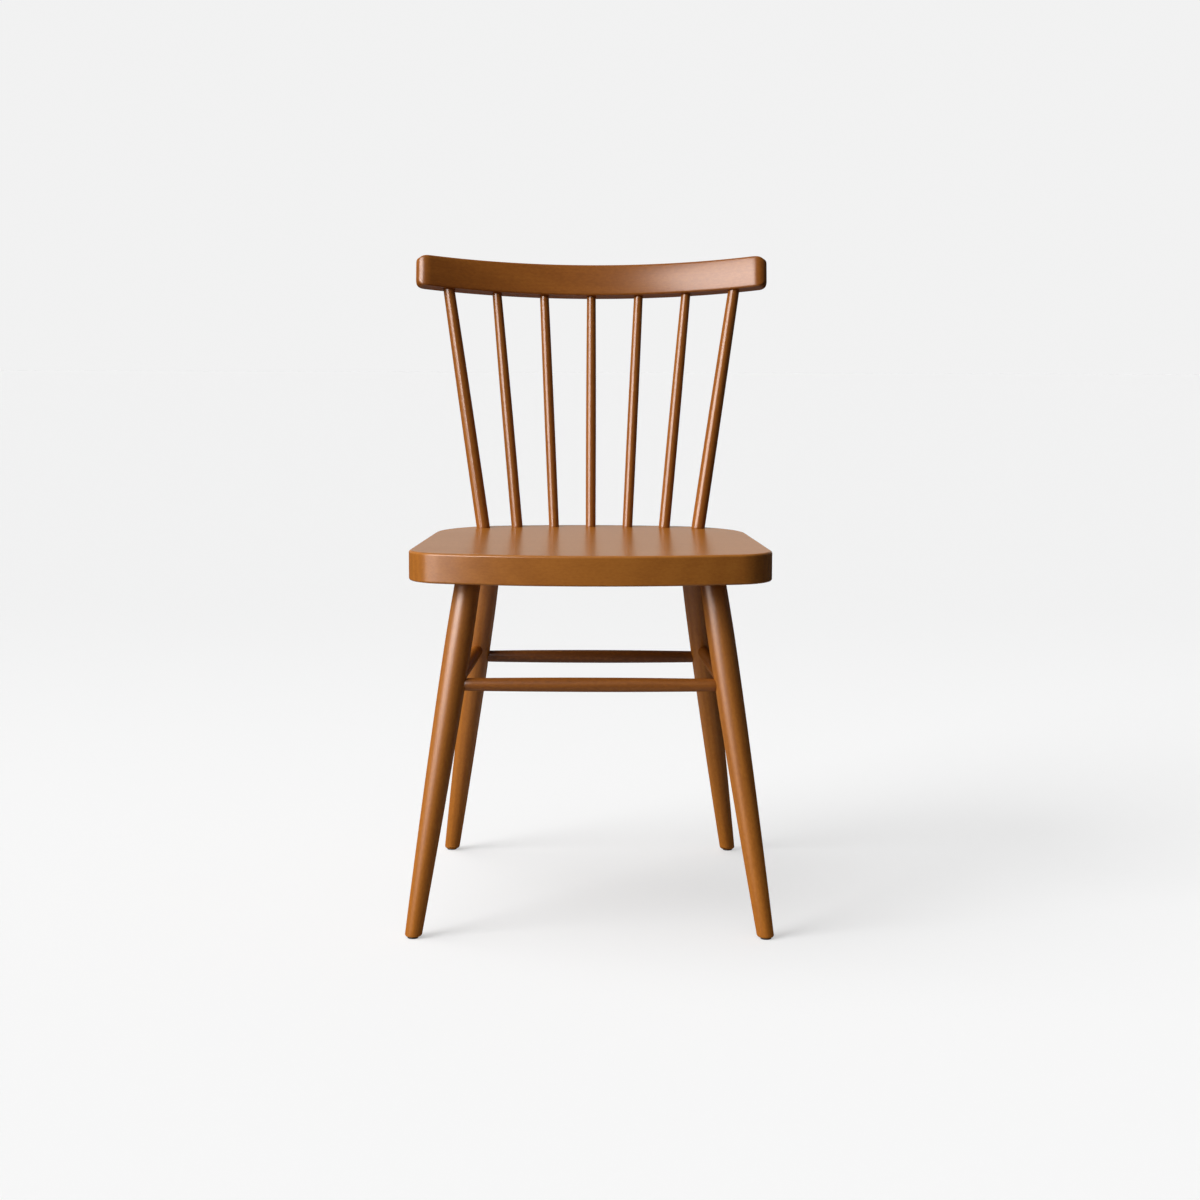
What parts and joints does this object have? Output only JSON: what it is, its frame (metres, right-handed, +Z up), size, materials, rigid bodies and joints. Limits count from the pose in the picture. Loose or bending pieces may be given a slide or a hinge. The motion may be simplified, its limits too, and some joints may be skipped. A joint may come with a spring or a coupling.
{
  "type": "spindle-back dining chair",
  "caption": "Wooden dining chair with a flat solid seat, a bent crest rail on straight leaning spindles, and splayed turned legs tied by stretchers.",
  "frame": {"origin": "on the floor, under the middle of the chair's overall box", "axes": "+Z up, -Y towards the front, where the sitter faces, +X to the right of someone in front of the chair"},
  "size_m": [0.4712, 0.5158, 0.8171],
  "materials": {
    "stained_wood": "warm brown stain under satin lacquer",
    "glide_plastic": "dark matte plastic",
    "nail_steel": "bright wire"
  },
  "bodies": {
    "root": {"seat": "stained_wood", "crest_rail": "stained_wood", "back_post_left": "stained_wood", "back_post_right": "stained_wood", "spindle_left_2": "stained_wood", "spindle_left_1": "stained_wood", "spindle_centre": "stained_wood", "spindle_right_1": "stained_wood", "spindle_right_2": "stained_wood", "leg_front_left": "stained_wood", "leg_front_right": "stained_wood", "leg_rear_left": "stained_wood", "leg_rear_right": "stained_wood", "stretcher_front": "stained_wood", "stretcher_rear": "stained_wood", "stretcher_left": "stained_wood", "stretcher_right": "stained_wood", "crest_pegs": "stained_wood", "glide_front_left": "glide_plastic", "glide_front_right": "glide_plastic", "glide_rear_left": "glide_plastic", "glide_rear_right": "glide_plastic", "glide_nails": "nail_steel"}
  },
  "joints": []
}
